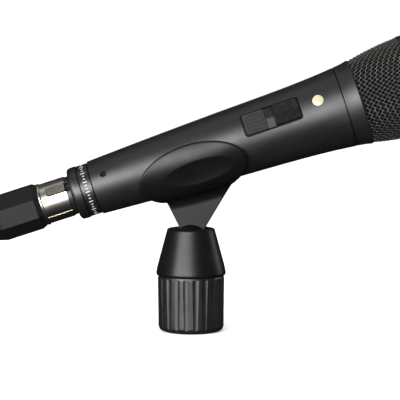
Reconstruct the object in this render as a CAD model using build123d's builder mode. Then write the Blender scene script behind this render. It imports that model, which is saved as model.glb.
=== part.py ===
from build123d import *
from math import cos, radians, sin, sqrt, tan
import os

os.makedirs("parts", exist_ok=True)

# A hand-held dynamic microphone, resting in its stand clip with a line connector plugged in.
# Millimetres. The origin is the mouth of the stand thread, and +Z points up along that thread.
# The microphone lies in the XZ plane with its head towards +X. Places along it are measured
# from its tail face.

# --- pose of the microphone in the clip ---
rest_tilt = 18.0            # microphone axis above the horizontal, degrees
clip_station = 57.3         # distance from the tail face to that crossing
switch_roll = 64.0          # switch side turned from straight up towards the front, degrees
latch_turn = 8.0            # latch of the connector, turned back from the switch side, degrees

# --- general fits ---
running_gap = 0.05          # faces that turn or slide on each other
free_gap = 0.3              # pieces of different bodies that must stay clear
seam_gap = 0.3              # visible seam between neighbouring shells

# --- handle ---
end_ring_length = 4.4
end_ring_wall = 1.4         # rings and handle are set from the connector cup inside them
marking_ring_length = 5.4
marking_ring_step = 0.25
handle_tail_wall = 2.2
handle_mid_radius = 16.15
handle_top_radius = 17.95
handle_rim_radius = 19.0
handle_length = 121.6
handle_wall = 1.6

# --- head ---
collar_length = 7.4
collar_flare = 1.2          # collar's rim above the handle's rim
neck_wall = 2.6
neck_spigot_length = 6.2
cone_length = 24.5
cone_step = 0.3             # cone's foot inside the collar's rim
cone_bulge = 0.55
band_flare = 3.7            # band above the cone's foot
band_length = 7.2
dome_height = 25.0
mesh_wall = 0.9
foam_wall = 3.2

# --- electronics inside the handle ---
board_length = 46.0
board_width = 17.0
board_thickness = 1.6
board_height = 3.5          # underside of the board above the axis, on the switch side
board_overhang = 24.0       # tail end of the board before the switch's middle
board_margin = 6.0          # screw holes stand in from the board's edges by half of this
board_screw_radius = 1.1
module_length = 15.0
module_width = 7.5
carrier_thickness = 5.0
carrier_bore = 7.5
transformer_side = 14.5
transformer_length = 17.0
plug_bore = 3.0             # cable way through the foam plug
lead_radius = 0.6
lead_circle = 2.0

# --- capsule ---
capsule_setback = 8.0       # foot of the capsule beyond the head collar
capsule_wall = 1.2
capsule_neck = 6.0          # the capsule's stem is this much smaller in radius
motor_height = 9.0
magnet_length = 5.4
yoke_floor = 1.6
yoke_gap = 0.4
yoke_wall = 2.0
diaphragm_thickness = 0.3
cap_thickness = 1.6
cap_holes = ((10.6, 6, 1.3), (6.2, 12, 1.3), (2.6, 18, 0.9))   # inset, count, hole radius
capsule_radius = 15.0
capsule_length = 17.0
diaphragm_inset = 2.0
coil_inset = 6.4            # voice coil inside the capsule's radius
magnet_inset = 1.0          # magnet inside the voice coil's radius
mount_rubber_length = 7.0

# --- switch ---
switch_centre = 98.4
window_length = 27.9
window_width = 11.5
window_corner = 1.6
frame_wall = 0.7
plate_length = 10.4
ramp_length = 3.9
slider_ridges = 10
switch_travel = 3.6         # slider's way from on to muted
dot_station = 120.9
dot_diameter = 5.8
dot_gap = 0.2
dot_stand = 0.3             # crown of the dot above the handle
set_screw_station = 16.6
set_screw_diameter = 3.0

# --- three-pin connector ---
cup_inner_radius = 8.3
cup_wall = 2.7
cup_depth = 15.2
cup_length = 22.0
cup_recess = 0.6            # front of the cup inside the end ring
contact_bore = 0.75         # socket sleeve's wall about a pin
chuck_bore_gap = 0.2
insert_thickness = 5.0
pin_circle_radius = 4.7
pin_diameter = 2.4
pin_length = 12.0
pin_angles = (45, 135, 270)
nose_length = 14.6
nose_gap = 0.25             # plug's nose inside the cup
shell_step = 1.23           # metal barrel outside the cup's bore
shell_wall = 0.95
shell_front = 2.3           # gap left between the tail face and the metal shell
shell_visible = 13.5
shell_hidden = 14.0
latch_length = 8.4
latch_width = 4.0
latch_travel = 1.0
latch_clearance = 0.35      # around the latch in its window
shell_lip = 0.45            # height of the rolled lip beside the boot
shell_lip_length = 1.5
shell_groove_turn = 130.0   # lengthwise seam of the shell, degrees
latch_ribs = 6
boot_across_flats = 20.8
boot_straight = 19.6
boot_taper = 22.0
boot_shoulder = 2.2
boot_corner_round = 1.1
boot_turn = 69.5            # turn of one corner of the boot's eight sides
boot_sides = 8
cable_radius = 3.2
cable_end_radius = 4.9

# --- stand clip ---
clip_wall_end = 2.1
clip_wall_middle = 3.4
clip_gap = 0.1
cheek_centre = 56.4
cheek_drop = 6.7
cheek_half_length = 25.7
cheek_half_height = 13.6
cheek_round = 0.8           # rounding of the cheeks' outer rim
dimple_station = 55.1       # thumb dimple in each cheek, a shallow dish turned about a line outside
dimple_turn = 112.0
dimple_depth = 1.5
dimple_reach = 25.0
dimple_bow = 130.0
stem_thickness = 5.0
stem_foot_tail = 5.3        # stem's half widths at the collar's top, tail side and head side
stem_foot_head = 6.7
stem_flare_tail = 26.6      # lean of the stem's flanks from the vertical, degrees
stem_flare_head = 30.7
stem_fillet = 5.0
stem_root = 4.5             # how far the stem's foot sits inside the ball
stem_screw_depth = 6.0
ball_screw_radius = 1.5

# --- swivel and base ---
ball_radius = 9.2
ball_rise = 15.0            # heights in this group are above the top of the fluted base
ball_counterbore = 3.1
ball_screw_head = 2.75
ball_screw_hex = 1.4
base_height = 26.0
base_radius = 15.6
base_foot_step = 0.3
flute_count = 22
flute_radius = 2.5
flute_depth = 0.55
spigot_wall = 1.8
spigot_rise = 11.0
seat_rim = 0.4              # seat's bore inside the ball's radius
seat_rise = 1.0
seat_hole = 3.5
friction_thickness = 2.2
friction_bore = 5.2
collar_rise = 22.0
collar_overhang = 0.7       # collar's lip outside the base
collar_top_radius = 11.2
collar_shoulder = (12.35, 17.0)     # (radius, rise) points of the collar's waisted side
collar_belly = (14.85, 7.7)
collar_skirt_rise = 3.3
mouth_radius = 9.0
mouth_depth = 1.6
stem_height = 33.5          # microphone's axis above the collar's top
thread_radius = 7.94
insert_radius = 10.4
insert_length = 16.0

# --- sizes that follow ---
collar_rim_radius = handle_rim_radius + collar_flare
cone_foot_radius = collar_rim_radius - cone_step
band_radius = cone_foot_radius + band_flare
diaphragm_radius = capsule_radius - diaphragm_inset
coil_radius = capsule_radius - coil_inset
magnet_radius = coil_radius - magnet_inset
nose_radius = cup_inner_radius - nose_gap
cup_outer_radius = cup_inner_radius + cup_wall
shell_radius = cup_inner_radius + shell_step
end_ring_radius = cup_outer_radius + end_ring_wall
marking_ring_radius = end_ring_radius - marking_ring_step
handle_tail_radius = cup_outer_radius + handle_tail_wall
base_foot_radius = base_radius - base_foot_step
ball_height = base_height + ball_rise
seat_bore_radius = ball_radius - seat_rim
spigot_radius = seat_bore_radius + spigot_wall
spigot_top = base_height + spigot_rise
seat_floor = base_height + seat_rise
collar_top = base_height + collar_rise
collar_lip_radius = base_radius + collar_overhang
axis_height = collar_top + stem_height

# --- directions and planes of the microphone ---
ALONG = Vector(cos(radians(rest_tilt)), 0, sin(radians(rest_tilt)))
UPWARD = Vector(-sin(radians(rest_tilt)), 0, cos(radians(rest_tilt)))
FRONT = Vector(0, -1, 0)
TAIL = Vector(0, 0, axis_height) - ALONG * clip_station
MIC_AXIS = Axis(TAIL, ALONG)
MIC_SIDE = Plane(origin=TAIL, x_dir=ALONG, z_dir=FRONT)
BASE_SIDE = Plane.XZ


def around(turn):
    """Direction square to the microphone, turned from straight up towards the front."""
    return UPWARD * cos(radians(turn)) + FRONT * sin(radians(turn))


def station(distance, turn=switch_roll):
    """Plane across the microphone, facing its head, with local X at the given turn."""
    return Plane(origin=TAIL + ALONG * distance, x_dir=around(turn), z_dir=ALONG)


def facing(distance, height, turn=switch_roll):
    """Plane that faces outwards at a height off the axis, with local X towards the head."""
    centre = TAIL + ALONG * distance + around(turn) * height
    return Plane(origin=centre, x_dir=ALONG, z_dir=around(turn))


def turned(points, plane=MIC_SIDE, axis=MIC_AXIS):
    """Solid turned from a closed outline of (distance along, radius) points."""
    with BuildPart() as solid:
        with BuildSketch(plane):
            with BuildLine():
                Polyline(*points, close=True)
            make_face()
        revolve(axis=axis)
    return solid.part


def tube(start, end, outer, inner):
    """Plain tube about the microphone's axis."""
    return turned([(start, inner), (end, inner), (end, outer), (start, outer)])


def turned_base(points):
    """Solid turned about the stand axis from (radius, height) points."""
    return turned(points, plane=BASE_SIDE, axis=Axis.Z)


# --- stations that follow from the sizes ---
marking_start = end_ring_length + seam_gap
handle_start = marking_start + marking_ring_length + seam_gap
handle_end = handle_start + handle_length
collar_start = handle_end + seam_gap + 0.1
collar_end = collar_start + collar_length
cone_end = collar_end + cone_length
band_end = cone_end + band_length
dome_end = band_end + dome_height
capsule_start = collar_end + capsule_setback

handle_points = [
    (0.0, handle_tail_radius - 0.45),
    (0.067, handle_tail_radius),
    (0.60, handle_mid_radius),
    (0.91, handle_top_radius),
    (1.0, handle_rim_radius),
]


def handle_radius(distance):
    """Outer radius of the handle at a distance from the tail face."""
    share = (distance - handle_start) / handle_length
    for (s0, r0), (s1, r1) in zip(handle_points, handle_points[1:]):
        if share <= s1:
            break
    return r0 + (r1 - r0) * (share - s0) / (s1 - s0)


def handle_core(offset, start=handle_start, end=handle_end):
    """Solid inside the handle's skin moved outwards by offset, between two stations."""
    places = [start] + [
        handle_start + share * handle_length
        for share, _ in handle_points
        if start + 1 < handle_start + share * handle_length < end - 1
    ] + [end]
    with BuildPart() as core:
        with BuildSketch(MIC_SIDE):
            with BuildLine():
                rim = [(place, handle_radius(place) + offset) for place in places]
                Spline(*rim)
                Polyline(rim[-1], (end, 0), (start, 0), rim[0])
            make_face()
        revolve(axis=MIC_AXIS)
    return core.part


def window(extra, top, depth):
    """Rounded block of the switch opening, grown by extra, reaching down from a height."""
    with BuildPart() as block:
        with BuildSketch(facing(switch_centre, top)):
            RectangleRounded(
                window_length + 2 * extra, window_width + 2 * extra, window_corner + extra
            )
        extrude(amount=-depth)
    return block.part


# ============================ handle and tail ============================
switch_skin = handle_radius(switch_centre)
dot_skin = handle_radius(dot_station)
screw_skin = handle_radius(set_screw_station)

with BuildPart() as handle:
    add(handle_core(0))
    add(handle_core(-handle_wall, handle_start - 1, handle_end + 1), mode=Mode.SUBTRACT)
    add(window(0, switch_skin + 5, 10), mode=Mode.SUBTRACT)
    with BuildSketch(facing(dot_station, dot_skin - 3)):
        Circle(dot_diameter / 2)
    extrude(amount=6, mode=Mode.SUBTRACT)
    with BuildSketch(facing(set_screw_station, screw_skin - 3)):
        Circle(set_screw_diameter / 2)
    extrude(amount=6, mode=Mode.SUBTRACT)
handle.part.label = "handle"

with BuildPart() as end_ring:
    ring_bore = cup_outer_radius
    add(
        turned(
            [
                (0, cup_inner_radius + free_gap),
                (0, end_ring_radius - 1.3),
                (0.4, end_ring_radius - 0.5),
                (1.2, end_ring_radius - 0.1),
                (2.2, end_ring_radius),
                (end_ring_length, end_ring_radius),
                (end_ring_length, ring_bore),
                (cup_recess, ring_bore),
                (cup_recess, cup_inner_radius + free_gap),
            ]
        )
    )
end_ring.part.label = "end_ring"

with BuildPart() as marking_ring:
    add(tube(marking_start, marking_start + marking_ring_length, marking_ring_radius, ring_bore))
    chamfer(marking_ring.edges().filter_by(GeomType.CIRCLE).group_by(SortBy.RADIUS)[-1], 0.25)
marking_ring.part.label = "marking_ring"

with BuildPart() as connector_cup:
    add(tube(cup_recess, cup_length, cup_outer_radius, cup_inner_radius))
    with BuildSketch(facing(cup_recess, 0, switch_roll - latch_turn)):
        with Locations((5, 0)):
            Rectangle(12, latch_width + 1.2)
    extrude(amount=cup_inner_radius + 1.4, mode=Mode.SUBTRACT)
connector_cup.part.label = "connector_cup"

pin_places = [
    (pin_circle_radius * cos(radians(a)), pin_circle_radius * sin(radians(a))) for a in pin_angles
]
with BuildPart() as male_insert:
    with BuildSketch(station(cup_depth + 0.3)):
        Circle(cup_inner_radius)
        with Locations(*pin_places):
            Circle(pin_diameter / 2, mode=Mode.SUBTRACT)
    extrude(amount=insert_thickness)
male_insert.part.label = "male_insert"

with BuildPart() as contact_pins:
    with BuildSketch(station(cup_depth + 0.3 - pin_length)):
        with Locations(*pin_places):
            Circle(pin_diameter / 2)
    extrude(amount=pin_length + insert_thickness + 5)
    fillet(contact_pins.edges().filter_by(GeomType.CIRCLE).sort_by(MIC_AXIS)[:3], pin_diameter * 0.3)
contact_pins.part.label = "contact_pins"

with BuildPart() as set_screw:
    with BuildSketch(facing(set_screw_station, cup_outer_radius)):
        Circle(set_screw_diameter / 2 - 0.1)
    extrude(amount=screw_skin - cup_outer_radius - 0.5)
    with BuildSketch(facing(set_screw_station, screw_skin - 0.5)):
        RegularPolygon(0.75, 6)
    extrude(amount=-1.0, mode=Mode.SUBTRACT)
set_screw.part.label = "set_screw"

# ============================ inside the handle ============================
board_start = switch_centre - board_overhang
inner_start = switch_centre - window_length / 2 + frame_wall
ramp_start = inner_start + plate_length
slider_start = ramp_start + ramp_length + 0.1
slider_length = window_length - 2 * frame_wall - plate_length - ramp_length - 0.3
post_station = slider_start + slider_length / 2
post_length = 2.4
post_width = 2.0

with BuildPart() as circuit_board:
    with BuildSketch(facing(board_start + board_length / 2, board_height)):
        Rectangle(board_length, board_width)
        with GridLocations(board_length - board_margin, board_width - board_margin, 2, 2):
            Circle(board_screw_radius, mode=Mode.SUBTRACT)
    extrude(amount=board_thickness)
circuit_board.part.label = "circuit_board"

board_top = board_height + board_thickness
module_top = switch_skin - handle_wall - 3.0
with BuildPart() as switch_module:
    with BuildSketch(facing(post_station - switch_travel / 2, board_top)):
        Rectangle(module_length, module_width)
    extrude(amount=module_top - board_top)
switch_module.part.label = "switch_module"

with BuildPart() as board_screws:
    for end in (-1, 1):
        for side in (-1, 1):
            centre = board_start + board_length / 2 + end * (board_length - board_margin) / 2
            with BuildSketch(facing(centre, board_height - 2)):
                with Locations((0, side * (board_width - board_margin) / 2)):
                    Circle(board_screw_radius)
            extrude(amount=2 + board_thickness)
            with BuildSketch(facing(centre, board_top)):
                with Locations((0, side * (board_width - board_margin) / 2)):
                    Circle(2.0)
            extrude(amount=1.4)
board_screws.part.label = "board_screws"

with BuildPart() as board_carrier:
    for place in (board_start, board_start + board_length - carrier_thickness):
        with BuildSketch(station(place)):
            Circle(handle_radius(place) - handle_wall - 0.15)
            with Locations((board_height + 50, 0)):
                Rectangle(100, 100, mode=Mode.SUBTRACT)
            Circle(carrier_bore, mode=Mode.SUBTRACT)
        extrude(amount=carrier_thickness)
    with BuildSketch(facing(board_start + board_length / 2, board_height - 2)):
        with Locations((0, board_width / 2 - 0.9), (0, 0.9 - board_width / 2)):
            Rectangle(board_length, 1.8)
    extrude(amount=2)
    with BuildSketch(facing(board_start + board_length / 2, board_height - 2)):
        with GridLocations(board_length - board_margin, board_width - board_margin, 2, 2):
            Circle(board_screw_radius)
    extrude(amount=2, mode=Mode.SUBTRACT)
board_carrier.part.label = "board_carrier"

transformer_start = cup_length + 9.0
with BuildPart() as transformer:
    with BuildSketch(station(transformer_start)):
        RectangleRounded(transformer_side, transformer_side, 1.5)
    extrude(amount=transformer_length)
transformer.part.label = "transformer"

with BuildPart() as damping_plug:
    plug_start = transformer_start + transformer_length + 1.0
    plug_end = board_start - 3.0
    add(handle_core(-handle_wall, plug_start, plug_end))
    with BuildSketch(station(plug_start - 1)):
        Circle(plug_bore)
    extrude(amount=plug_end - plug_start + 2, mode=Mode.SUBTRACT)
damping_plug.part.label = "damping_plug"

lead_places = [
    (lead_circle * cos(radians(a)), lead_circle * sin(radians(a))) for a in (30, 150, 270)
]
with BuildPart() as tail_leads:
    with BuildSketch(station(transformer_start + transformer_length)):
        with Locations(*lead_places):
            Circle(lead_radius)
    extrude(amount=board_start + 8 - transformer_start - transformer_length)
tail_leads.part.label = "tail_leads"

# ============================ switch ============================
floor_height = switch_skin - handle_wall - 0.4
with BuildPart() as switch_frame:
    add(window(0, switch_skin + 0.15, switch_skin + 0.15 - floor_height + 1.0))
    add(handle_core(0.1), mode=Mode.INTERSECT)
    add(window(-frame_wall, switch_skin + 5, switch_skin + 5 - floor_height), mode=Mode.SUBTRACT)
    with BuildSketch(facing(post_station - switch_travel / 2, floor_height + 1)):
        Rectangle(post_length + switch_travel + 2 * free_gap, post_width + 4 * free_gap)
    extrude(amount=-4, mode=Mode.SUBTRACT)
switch_frame.part.label = "switch_frame"

plate_top = switch_skin - 0.75
with BuildPart() as switch_plate:
    with BuildSketch(facing(inner_start + plate_length / 2, floor_height)):
        Rectangle(plate_length - 0.1, window_width - 2 * frame_wall - 0.1)
    extrude(amount=plate_top - floor_height)
    with BuildSketch(facing(inner_start + plate_length / 2, plate_top)):
        with GridLocations(0, (window_width - 2 * frame_wall) / 5.6, 1, 5):
            Rectangle(plate_length - 2.4, 0.35)
    extrude(amount=0.25)
    fillet(switch_plate.edges().filter_by(Axis(TAIL, around(switch_roll))).group_by(
        SortBy.LENGTH)[-1], 1.0)
switch_plate.part.label = "switch_plate"

with BuildPart() as switch_marker:
    with BuildSketch(facing(ramp_start + ramp_length / 2, floor_height)):
        Rectangle(ramp_length, window_width - 2 * frame_wall - 0.1)
    extrude(amount=0.7)
switch_marker.part.label = "switch_marker"

slider_width = window_width - 2 * frame_wall - 0.4
slider_floor = floor_height + 0.8
slider_top = switch_skin + 0.35
ridge_pitch = slider_length / slider_ridges
ridge_bend = 1.7
with BuildPart() as switch_slider:
    with BuildSketch(facing(slider_start + slider_length / 2, slider_floor)):
        RectangleRounded(slider_length, slider_width, 0.9)
    extrude(amount=slider_top - slider_floor)
    for ridge in range(slider_ridges - 1):
        groove = slider_start + ridge_pitch * (ridge + 0.62)
        with BuildSketch(facing(groove, slider_top)):
            with BuildLine():
                Polyline(
                    (0, slider_width / 2 + 0.1),
                    (ridge_bend, 0),
                    (0, -slider_width / 2 - 0.1),
                    (-0.62, -slider_width / 2 - 0.1),
                    (ridge_bend - 0.62, 0),
                    (-0.62, slider_width / 2 + 0.1),
                    close=True,
                )
            make_face()
        extrude(amount=-0.55, mode=Mode.SUBTRACT)
    with BuildSketch(facing(post_station, slider_floor)):
        Rectangle(post_length, post_width)
    extrude(amount=module_top + 0.3 - slider_floor)
switch_slider.part.label = "switch_slider"

with BuildPart() as indicator_dot:
    with BuildSketch(facing(dot_station, dot_skin + dot_stand - 2.3)):
        Circle(dot_diameter / 2 - dot_gap)
    extrude(amount=2.3)
    fillet(indicator_dot.edges().sort_by(Axis(TAIL, around(switch_roll)))[-1], 0.35)
indicator_dot.part.label = "indicator_dot"

# ============================ head ============================
neck_radius = handle_radius(handle_end - 8) - handle_wall - 0.1
spigot_neck = handle_rim_radius - handle_wall - 1.1
with BuildPart() as neck_ring:
    add(
        turned(
            [
                (handle_end - 8, neck_radius - neck_wall),
                (handle_end - 8, neck_radius),
                (handle_end, neck_radius),
                (handle_end + 0.2, spigot_neck),
                (handle_end + 0.2 + neck_spigot_length, spigot_neck),
                (handle_end + 0.2 + neck_spigot_length, neck_radius - neck_wall),
            ]
        )
    )
neck_ring.part.label = "neck_ring"

with BuildPart() as head_collar:
    with BuildSketch(MIC_SIDE):
        with BuildLine():
            Spline(
                (collar_start, handle_rim_radius + 0.05),
                (collar_start + collar_length * 0.45, handle_rim_radius + 0.45),
                (collar_end - 0.5, collar_rim_radius),
            )
            Polyline(
                (collar_end - 0.5, collar_rim_radius),
                (collar_end, collar_rim_radius - 0.2),
                (collar_end, spigot_neck + running_gap),
                (collar_start, spigot_neck + running_gap),
                (collar_start, handle_rim_radius + 0.05),
            )
        make_face()
    revolve(axis=MIC_AXIS)
head_collar.part.label = "head_collar"


def basket(offset, start, end):
    """Solid of the head's outline from collar to crown, moved outwards, cut to a span."""
    foot = (collar_end, cone_foot_radius + offset)
    middle = (
        collar_end + cone_length * 0.35,
        cone_foot_radius + (band_radius - cone_foot_radius) * (0.35 + cone_bulge / 2) + offset,
    )
    shoulder = (cone_end, band_radius - 0.15 + offset)
    with BuildPart() as solid:
        with BuildSketch(MIC_SIDE):
            with BuildLine():
                Spline(foot, middle, shoulder)
                Line(shoulder, (band_end, band_radius - 0.15 + offset))
                EllipticalCenterArc(
                    (band_end, 0), dome_height + offset, band_radius - 0.15 + offset, arc_size=90
                )
                Polyline((band_end + dome_height + offset, 0), (collar_end, 0), foot)
            make_face()
            with Locations(((start + end) / 2, 25)):
                Rectangle(end - start, 50, mode=Mode.INTERSECT)
        revolve(axis=MIC_AXIS)
    return solid.part


with BuildPart() as grille_cone:
    add(basket(0, collar_end, cone_end))
    add(basket(-mesh_wall, collar_end, cone_end), mode=Mode.SUBTRACT)
grille_cone.part.label = "grille_cone"

with BuildPart() as grille_band:
    add(
        tube(cone_end, band_end, band_radius, band_radius - mesh_wall - 0.15)
    )
    fillet(grille_band.edges().filter_by(GeomType.CIRCLE).group_by(SortBy.RADIUS)[-1], 0.35)
grille_band.part.label = "grille_band"

with BuildPart() as grille_dome:
    add(basket(0, band_end, dome_end))
    add(basket(-mesh_wall, band_end, dome_end), mode=Mode.SUBTRACT)
grille_dome.part.label = "grille_dome"

foam_outer = -mesh_wall - 0.2
with BuildPart() as windscreen:
    add(basket(foam_outer, collar_end + 1, dome_end))
    add(basket(foam_outer - foam_wall, collar_end + 1, dome_end), mode=Mode.SUBTRACT)
windscreen.part.label = "windscreen"

# ============================ capsule ============================
neck_bore = neck_radius - neck_wall
mount_start = handle_end + 0.2 + neck_spigot_length - 4.0
capsule_foot = capsule_radius - capsule_neck
with BuildPart() as shock_mount:
    add(
        turned(
            [
                (mount_start, capsule_foot),
                (mount_start, neck_bore),
                (mount_start + mount_rubber_length - 3, neck_bore),
                (mount_start + mount_rubber_length - 3, capsule_foot + 1.5),
                (mount_start + mount_rubber_length, capsule_foot + 1.5),
                (mount_start + mount_rubber_length, capsule_foot),
            ]
        )
    )
shock_mount.part.label = "shock_mount"

tail_cup_start = mount_start - 2.0
with BuildPart() as capsule_housing:
    add(
        turned(
            [
                (tail_cup_start, capsule_foot - 1.5),
                (tail_cup_start, capsule_foot),
                (capsule_start - 2, capsule_foot),
                (capsule_start + 2, capsule_radius),
                (capsule_start + capsule_length, capsule_radius),
                (capsule_start + capsule_length, capsule_radius - capsule_wall),
                (capsule_start + 3, capsule_radius - capsule_wall),
                (capsule_start - 0.5, capsule_foot - 1.5),
            ]
        )
    )
capsule_housing.part.label = "capsule_housing"

motor_start = capsule_start + 3.0
motor_top = motor_start + motor_height
yoke_inner = coil_radius + yoke_gap
yoke_outer = yoke_inner + yoke_wall
with BuildPart() as magnet_yoke:
    add(
        turned(
            [
                (motor_start, 0),
                (motor_start, yoke_outer),
                (motor_top, yoke_outer),
                (motor_top, yoke_inner),
                (motor_start + yoke_floor, yoke_inner),
                (motor_start + yoke_floor, 0),
            ]
        )
    )
magnet_yoke.part.label = "magnet_yoke"

with BuildPart() as magnet:
    with BuildSketch(station(motor_start + yoke_floor)):
        Circle(magnet_radius)
    extrude(amount=magnet_length)
magnet.part.label = "magnet"

with BuildPart() as pole_piece:
    with BuildSketch(station(motor_start + yoke_floor + magnet_length)):
        Circle(coil_radius - 0.45)
    extrude(amount=motor_height - yoke_floor - magnet_length)
pole_piece.part.label = "pole_piece"

with BuildPart() as voice_coil:
    add(tube(motor_start + 5.0, motor_top + 1.0, coil_radius + 0.15, coil_radius - 0.2))
voice_coil.part.label = "voice_coil"

surround_mid = (coil_radius + diaphragm_radius) / 2
dome_points = [
    (3.1, 0), (2.9, 0.35 * coil_radius), (2.2, 0.7 * coil_radius), (1.0, coil_radius),
    (1.6, coil_radius + 0.8), (1.9, surround_mid), (1.6, diaphragm_radius - 0.8),
    (1.0, diaphragm_radius),
]
with BuildPart() as diaphragm:
    lower = [(motor_top + height, radius) for height, radius in dome_points]
    upper = [(place + diaphragm_thickness, radius) for place, radius in lower]
    add(turned(lower + upper[::-1]))
diaphragm.part.label = "diaphragm"

with BuildPart() as diaphragm_ring:
    add(
        tube(motor_top - 0.5, motor_top + 1.0, capsule_radius - capsule_wall, yoke_outer)
    )
diaphragm_ring.part.label = "diaphragm_ring"

with BuildPart() as capsule_cap:
    cap_start = capsule_start + capsule_length
    with BuildSketch(station(cap_start)):
        Circle(capsule_radius)
        for inset, count, hole_radius in cap_holes:
            with PolarLocations(capsule_radius - inset, count):
                Circle(hole_radius, mode=Mode.SUBTRACT)
    extrude(amount=cap_thickness)
capsule_cap.part.label = "capsule_cap"

with BuildPart() as capsule_leads:
    with BuildSketch(station(board_start + board_length + 1)):
        with Locations((lead_circle, 1.8), (lead_circle, -1.8)):
            Circle(lead_radius)
    extrude(amount=capsule_start + 1 - board_start - board_length)
capsule_leads.part.label = "capsule_leads"

# ============================ stand base ============================
with BuildPart() as stand_base:
    add(
        turned_base(
            [
                (insert_radius, 0.6),
                (base_foot_radius - 2.2, 0),
                (base_foot_radius - 0.7, 0.7),
                (base_foot_radius, 2.2),
                (base_radius, base_height - 1.2),
                (base_radius - 0.4, base_height),
                (spigot_radius, base_height),
                (spigot_radius, spigot_top - 0.6),
                (spigot_radius - 0.6, spigot_top),
                (seat_bore_radius, spigot_top),
                (seat_bore_radius, seat_floor),
                (seat_hole, seat_floor),
                (seat_hole, insert_length + 2.0),
                (thread_radius, insert_length),
                (insert_radius, insert_length),
            ]
        )
    )
    with BuildSketch(Plane.XY.offset(-1)):
        with PolarLocations(base_radius + flute_radius - flute_depth, flute_count):
            Circle(flute_radius)
    extrude(amount=base_height + 0.2, mode=Mode.SUBTRACT)
stand_base.part.label = "stand_base"

with BuildPart() as thread_insert:
    add(
        turned_base(
            [
                (thread_radius, 0),
                (thread_radius, insert_length),
                (insert_radius, insert_length),
                (insert_radius, 0.8),
                (insert_radius - 0.8, 0),
            ]
        )
    )
thread_insert.part.label = "thread_insert"

with BuildPart() as friction_ring:
    add(
        turned_base(
            [
                (friction_bore, seat_floor),
                (friction_bore, seat_floor + friction_thickness),
                (seat_bore_radius - 0.2, seat_floor + friction_thickness),
                (seat_bore_radius - 0.2, seat_floor),
            ]
        )
    )
friction_ring.part.label = "friction_ring"

seat_bottom = seat_floor + friction_thickness + running_gap
seat_top = ball_height - 4.4
dish_radius = ball_radius + running_gap
with BuildPart() as ball_seat:
    add(
        turned_base(
            [
                (3.4, seat_bottom),
                (3.4, seat_top),
                (seat_bore_radius - running_gap, seat_top),
                (seat_bore_radius - running_gap, seat_bottom),
            ]
        )
    )
    with Locations((0, 0, ball_height)):
        Sphere(dish_radius, mode=Mode.SUBTRACT)
ball_seat.part.label = "ball_seat"

mouth_height = collar_top - mouth_depth
mouth_inner = sqrt(dish_radius**2 - (mouth_height - ball_height) ** 2)
relief_radius = dish_radius + 0.35
with BuildPart() as lock_collar:
    with BuildSketch(BASE_SIDE):
        with BuildLine():
            Polyline(
                (mouth_inner, mouth_height),
                (mouth_radius, collar_top),
                (collar_top_radius - 0.9, collar_top),
            )
            ThreePointArc(
                (collar_top_radius - 0.9, collar_top),
                (collar_top_radius - 0.25, collar_top - 0.3),
                (collar_top_radius + 0.1, collar_top - 1.2),
            )
            Spline(
                (collar_top_radius + 0.1, collar_top - 1.2),
                (collar_shoulder[0], base_height + collar_shoulder[1]),
                (collar_belly[0], base_height + collar_belly[1]),
                (collar_lip_radius - 0.35, base_height + collar_skirt_rise),
                (collar_lip_radius, base_height + 1.2),
            )
            Polyline(
                (collar_lip_radius, base_height + 1.2),
                (collar_lip_radius - 0.3, base_height + free_gap),
                (spigot_radius + running_gap, base_height + free_gap),
                (spigot_radius + running_gap, spigot_top + 0.8),
                (relief_radius, spigot_top + 1.6),
                (relief_radius, ball_height + 1.0),
                (sqrt(dish_radius**2 - 1.5**2), ball_height + 1.5),
            )
            ThreePointArc(
                (sqrt(dish_radius**2 - 1.5**2), ball_height + 1.5),
                (sqrt(dish_radius**2 - 3.3**2), ball_height + 3.3),
                (mouth_inner, mouth_height),
            )
        make_face()
    revolve(axis=Axis.Z)
lock_collar.part.label = "lock_collar"

# ============================ stand clip ============================


def flank(side, height):
    """X of the stem's flank at a height: side -1 is towards the tail, 1 towards the head."""
    foot, lean = (stem_foot_tail, stem_flare_tail) if side < 0 else (stem_foot_head, stem_flare_head)
    return side * (foot + (height - collar_top - 0.5) * tan(radians(lean)))


stem_bottom = collar_top - stem_root
stem_top = axis_height
with BuildPart() as stem_fan:
    with BuildSketch(BASE_SIDE):
        with BuildLine():
            Polyline(
                (flank(-1, stem_bottom), stem_bottom),
                (flank(1, stem_bottom), stem_bottom),
                (flank(1, stem_top), stem_top),
                (flank(-1, stem_top), stem_top),
                close=True,
            )
        make_face()
    extrude(amount=14, both=True)

cheek_start = cheek_centre - cheek_half_length
cheek_end = cheek_centre + cheek_half_length


def clip_radius(distance):
    """Outer radius of the cradle's barrel-shaped skin at a distance from the tail face."""
    ends = [(cheek_start, clip_wall_end), (cheek_centre, clip_wall_middle), (cheek_end, clip_wall_end)]
    (x0, r0), (x1, r1), (x2, r2) = [(x, handle_radius(x) + wall) for x, wall in ends]
    share0 = (distance - x1) * (distance - x2) / ((x0 - x1) * (x0 - x2))
    share1 = (distance - x0) * (distance - x2) / ((x1 - x0) * (x1 - x2))
    share2 = (distance - x0) * (distance - x1) / ((x2 - x0) * (x2 - x1))
    return share0 * r0 + share1 * r1 + share2 * r2


def stem_section(distance):
    """Section of the stem web with its fillets tangent to the web and to the cradle's skin."""
    half = stem_thickness / 2
    skin = clip_radius(distance)
    reach = skin + stem_fillet
    rise = half + stem_fillet
    centre = -sqrt(reach**2 - rise**2)
    touch = (centre * skin / reach, rise * skin / reach)
    inward = (-centre / reach, -rise / reach)
    lean = sqrt(inward[0] ** 2 + (inward[1] - 1) ** 2)
    middle = (
        centre + stem_fillet * inward[0] / lean,
        rise + stem_fillet * (inward[1] - 1) / lean,
    )
    with BuildSketch(station(distance, 0)) as section:
        with BuildLine():
            Polyline((-90, 0), (-90, half), (centre, half))
            ThreePointArc((centre, half), middle, touch)
            Polyline(touch, (touch[0] * 0.85, touch[1] * 0.85), (touch[0] * 0.85, 0), (-90, 0))
        make_face()
        mirror(about=Plane.XZ)
    return section.sketch


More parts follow.
